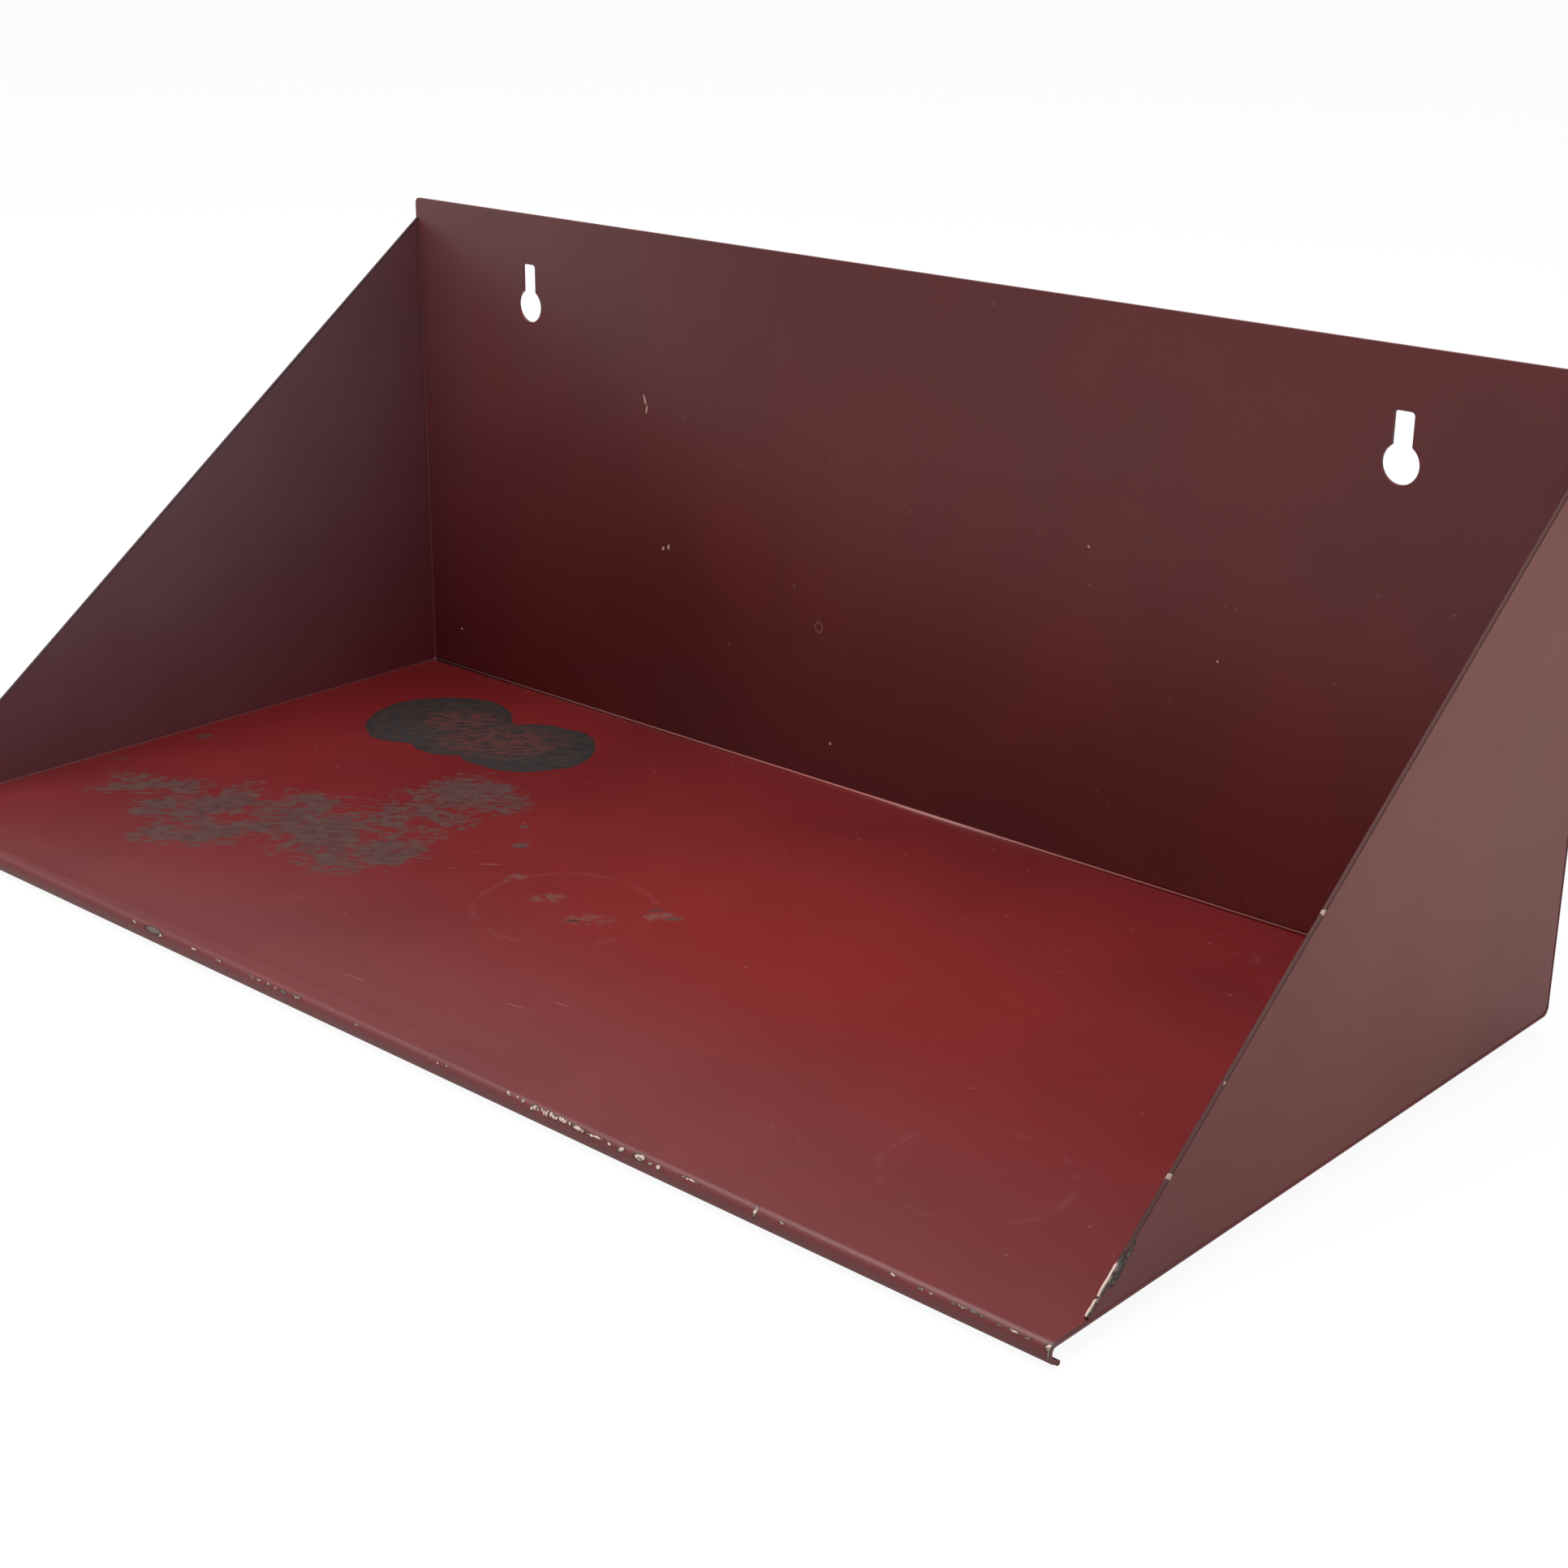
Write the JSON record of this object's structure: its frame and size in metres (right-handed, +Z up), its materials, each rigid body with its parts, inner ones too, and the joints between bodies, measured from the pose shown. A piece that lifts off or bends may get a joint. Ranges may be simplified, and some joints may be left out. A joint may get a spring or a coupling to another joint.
{
  "type": "wall shelf",
  "caption": "Small wall shelf folded from sheet steel, with triangular end plates, a turned-down front edge and keyholes in the back for hanging on two screws.",
  "frame": {"origin": "on the wall face of the back, midway between the centres of the two keyholes' round holes", "axes": "+X along the shelf to the viewer's right, +Y into the wall, +Z up; the shelf reaches out along -Y"},
  "size_m": [0.4, 0.197, 0.1565],
  "materials": {
    "shelf_lacquer": "satin oxblood-red lacquer, worn through to dark steel in patches on the surface, chipped to pale primer along the front fold",
    "plate_lacquer": "satin oxblood-red lacquer, rubbed along the sloping edges, chipped to primer at the right tip"
  },
  "bodies": {
    "root": {"folded_shelf": "shelf_lacquer", "left_end_plate": "plate_lacquer", "right_end_plate": "plate_lacquer"}
  },
  "joints": []
}
